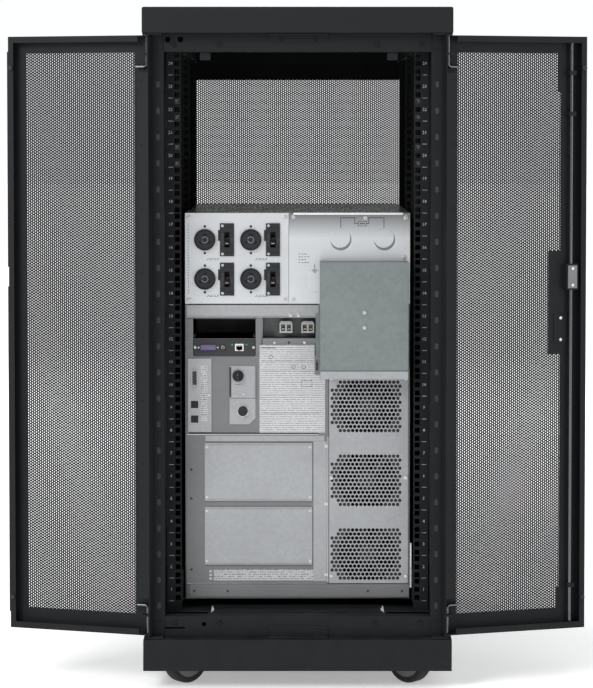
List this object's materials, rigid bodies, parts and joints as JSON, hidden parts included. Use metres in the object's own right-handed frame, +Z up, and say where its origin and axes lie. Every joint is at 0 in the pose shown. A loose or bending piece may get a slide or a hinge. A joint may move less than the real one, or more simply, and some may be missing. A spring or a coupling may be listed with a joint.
{
  "type": "rack-mounted uninterruptible power supply in a wheeled enclosure",
  "caption": "Modular rack-mount UPS with a power distribution unit on top, installed in a wheeled rack enclosure with split perforated rear doors and a perforated front door.",
  "frame": {"origin": "on the floor, at the middle of the footprint with the rear doors folded back", "axes": "+X to the right seen from the rear, +Y from the rear doors to the front door, +Z up"},
  "size_m": [1.1185, 1.0958, 1.303],
  "materials": {
    "enclosure_black": "fine satin black powder coat",
    "perforated_black": "black powder-coated perforated sheet",
    "zinc_plate": "bright zinc-plated steel",
    "galvanised_sheet": "matt galvanised sheet steel",
    "black_plastic": "moulded black plastic",
    "grey_plastic": "moulded grey plastic",
    "castor_steel": "dark pressed steel",
    "castor_tyre": "black rubber tread"
  },
  "bodies": {
    "cabinet": {"corner_posts": "enclosure_black", "frame_beams": "enclosure_black", "rear_header": "enclosure_black", "rear_sill": "enclosure_black", "roof_cap": "enclosure_black", "plinth_skirt": "enclosure_black", "side_panels": "enclosure_black", "mounting_rails": "enclosure_black", "floor_panel": "enclosure_black", "lock_strikes": "enclosure_black", "support_rails": "enclosure_black", "hinge_brackets": "zinc_plate", "castor_mounts": "castor_steel", "ups_chassis": "galvanised_sheet", "battery_modules": "black_plastic", "power_modules": "galvanised_sheet", "display_panel": "black_plastic", "management_card": "galvanised_sheet", "comms_module": "galvanised_sheet", "service_plates": "galvanised_sheet", "battery_connectors": "grey_plastic", "cover_plates": "galvanised_sheet", "fan_panel": "galvanised_sheet", "fan_frames": "black_plastic", "pdu_case": "galvanised_sheet", "pdu_panels": "galvanised_sheet", "locking_sockets": "black_plastic", "breaker_bodies": "black_plastic", "wiring_cover": "galvanised_sheet", "panel_screws": "zinc_plate"},
    "left_door": {"left_rear_door": "enclosure_black", "left_door_sheet": "perforated_black", "door_astragal": "enclosure_black"},
    "right_door": {"right_rear_door": "enclosure_black", "right_door_sheet": "perforated_black", "latch_body": "black_plastic"},
    "left_upper_hinge_pin": {"left_upper_hinge_pin": "zinc_plate"},
    "left_lower_hinge_pin": {"left_lower_hinge_pin": "zinc_plate"},
    "right_upper_hinge_pin": {"right_upper_hinge_pin": "zinc_plate"},
    "right_lower_hinge_pin": {"right_lower_hinge_pin": "zinc_plate"},
    "rear_door_handle": {"rear_door_handle": "black_plastic"},
    "upper_lock_rod": {"upper_lock_rod": "zinc_plate"},
    "lower_lock_rod": {"lower_lock_rod": "zinc_plate"},
    "front_door": {"front_door": "enclosure_black", "front_door_sheet": "perforated_black"},
    "front_door_handle": {"front_door_handle": "black_plastic"},
    "rear_left_castor_fork": {"rear_left_castor_fork": "castor_steel"},
    "rear_left_castor_wheel": {"rear_left_castor_wheel": "castor_tyre"},
    "rear_right_castor_fork": {"rear_right_castor_fork": "castor_steel"},
    "rear_right_castor_wheel": {"rear_right_castor_wheel": "castor_tyre"},
    "front_left_castor_wheel": {"front_left_castor_wheel": "castor_tyre"},
    "front_right_castor_wheel": {"front_right_castor_wheel": "castor_tyre"},
    "bypass_knob": {"bypass_knob": "black_plastic"},
    "fan_rotor_1": {"fan_rotor_1": "black_plastic"},
    "fan_rotor_2": {"fan_rotor_2": "black_plastic"},
    "fan_rotor_3": {"fan_rotor_3": "black_plastic"},
    "breaker_lever_1": {"breaker_lever_1": "black_plastic"},
    "breaker_lever_2": {"breaker_lever_2": "black_plastic"},
    "breaker_lever_3": {"breaker_lever_3": "black_plastic"},
    "breaker_lever_4": {"breaker_lever_4": "black_plastic"}
  },
  "joints": [
    {"name": "left_rear_door_swing", "type": "hinge", "parent": "cabinet", "child": "left_door", "pos_m": [-0.286, -0.534, 0.675], "axis": [0, 0, 1], "range_deg": [0, 197.6]},
    {"name": "right_rear_door_swing", "type": "hinge", "parent": "cabinet", "child": "right_door", "pos_m": [0.286, -0.534, 0.675], "axis": [0, 0, -1], "range_deg": [0, 197.6]},
    {"name": "left_upper_hinge_pin_pull", "type": "slide", "parent": "left_door", "child": "left_upper_hinge_pin", "axis": [0, 0, -1], "range_m": [0, 0.006], "stiffness_N_per_m": 400, "springref_m": -0.005},
    {"name": "left_lower_hinge_pin_pull", "type": "slide", "parent": "left_door", "child": "left_lower_hinge_pin", "axis": [0, 0, 1], "range_m": [0, 0.006], "stiffness_N_per_m": 400, "springref_m": -0.005},
    {"name": "right_upper_hinge_pin_pull", "type": "slide", "parent": "right_door", "child": "right_upper_hinge_pin", "axis": [0, 0, -1], "range_m": [0, 0.006], "stiffness_N_per_m": 400, "springref_m": -0.005},
    {"name": "right_lower_hinge_pin_pull", "type": "slide", "parent": "right_door", "child": "right_lower_hinge_pin", "axis": [0, 0, 1], "range_m": [0, 0.006], "stiffness_N_per_m": 400, "springref_m": -0.005},
    {"name": "rear_door_handle_turn", "type": "hinge", "parent": "right_door", "child": "rear_door_handle", "pos_m": [0.52668, -0.45765, 0.787], "axis": [-0.3024, 0.9532, 0], "range_deg": [0, 90]},
    {"name": "upper_lock_rod_slide", "type": "slide", "parent": "right_door", "child": "upper_lock_rod", "axis": [0, 0, 1], "range_m": [0, 0.0115]},
    {"name": "lower_lock_rod_slide", "type": "slide", "parent": "right_door", "child": "lower_lock_rod", "axis": [0, 0, -1], "range_m": [0, 0.0115]},
    {"name": "front_door_swing", "type": "hinge", "parent": "cabinet", "child": "front_door", "pos_m": [-0.286, 0.516, 0.675], "axis": [0, 0, 1], "range_deg": [0, 135]},
    {"name": "front_door_handle_turn", "type": "hinge", "parent": "front_door", "child": "front_door_handle", "pos_m": [0.264, 0.524, 0.72], "axis": [0, 1, 0], "range_deg": [0, 90]},
    {"name": "rear_left_castor_swivel", "type": "hinge", "parent": "cabinet", "child": "rear_left_castor_fork", "pos_m": [-0.198, -0.456, 0.1], "axis": [0, 0, 1], "continuous": true},
    {"name": "rear_left_castor_roll", "type": "hinge", "parent": "rear_left_castor_fork", "child": "rear_left_castor_wheel", "pos_m": [-0.21715, -0.47207, 0.045], "axis": [0.6428, -0.766, 0], "continuous": true},
    {"name": "rear_right_castor_swivel", "type": "hinge", "parent": "cabinet", "child": "rear_right_castor_fork", "pos_m": [0.198, -0.456, 0.1], "axis": [0, 0, 1], "continuous": true},
    {"name": "rear_right_castor_roll", "type": "hinge", "parent": "rear_right_castor_fork", "child": "rear_right_castor_wheel", "pos_m": [0.21715, -0.47207, 0.045], "axis": [0.6428, 0.766, 0], "continuous": true},
    {"name": "front_left_castor_roll", "type": "hinge", "parent": "cabinet", "child": "front_left_castor_wheel", "pos_m": [-0.198, 0.409, 0.045], "axis": [1, 0, 0], "continuous": true},
    {"name": "front_right_castor_roll", "type": "hinge", "parent": "cabinet", "child": "front_right_castor_wheel", "pos_m": [0.198, 0.409, 0.045], "axis": [1, 0, 0], "continuous": true},
    {"name": "bypass_knob_turn", "type": "hinge", "parent": "cabinet", "child": "bypass_knob", "pos_m": [-0.116, -0.4225, 0.5912], "axis": [0, 1, 0], "range_deg": [0, 90]},
    {"name": "fan_1_spin", "type": "hinge", "parent": "cabinet", "child": "fan_rotor_1", "pos_m": [0.1357, -0.401, 0.2412], "axis": [0, 1, 0], "continuous": true},
    {"name": "fan_2_spin", "type": "hinge", "parent": "cabinet", "child": "fan_rotor_2", "pos_m": [0.1357, -0.401, 0.3862], "axis": [0, 1, 0], "continuous": true},
    {"name": "fan_3_spin", "type": "hinge", "parent": "cabinet", "child": "fan_rotor_3", "pos_m": [0.1357, -0.401, 0.5312], "axis": [0, 1, 0], "continuous": true},
    {"name": "breaker_1_throw", "type": "hinge", "parent": "cabinet", "child": "breaker_lever_1", "pos_m": [-0.1372, -0.4165, 0.77995], "axis": [-1, 0, 0], "range_deg": [0, 44]},
    {"name": "breaker_2_throw", "type": "hinge", "parent": "cabinet", "child": "breaker_lever_2", "pos_m": [-0.1372, -0.4165, 0.85665], "axis": [-1, 0, 0], "range_deg": [0, 44]},
    {"name": "breaker_3_throw", "type": "hinge", "parent": "cabinet", "child": "breaker_lever_3", "pos_m": [-0.0478, -0.4165, 0.77995], "axis": [-1, 0, 0], "range_deg": [0, 44]},
    {"name": "breaker_4_throw", "type": "hinge", "parent": "cabinet", "child": "breaker_lever_4", "pos_m": [-0.0478, -0.4165, 0.85665], "axis": [-1, 0, 0], "range_deg": [0, 44]}
  ],
  "couplings": [
    {"joint": "upper_lock_rod_slide", "follows": "rear_door_handle_turn", "m_per_rad": 0.0073},
    {"joint": "lower_lock_rod_slide", "follows": "rear_door_handle_turn", "m_per_rad": 0.0073}
  ]
}
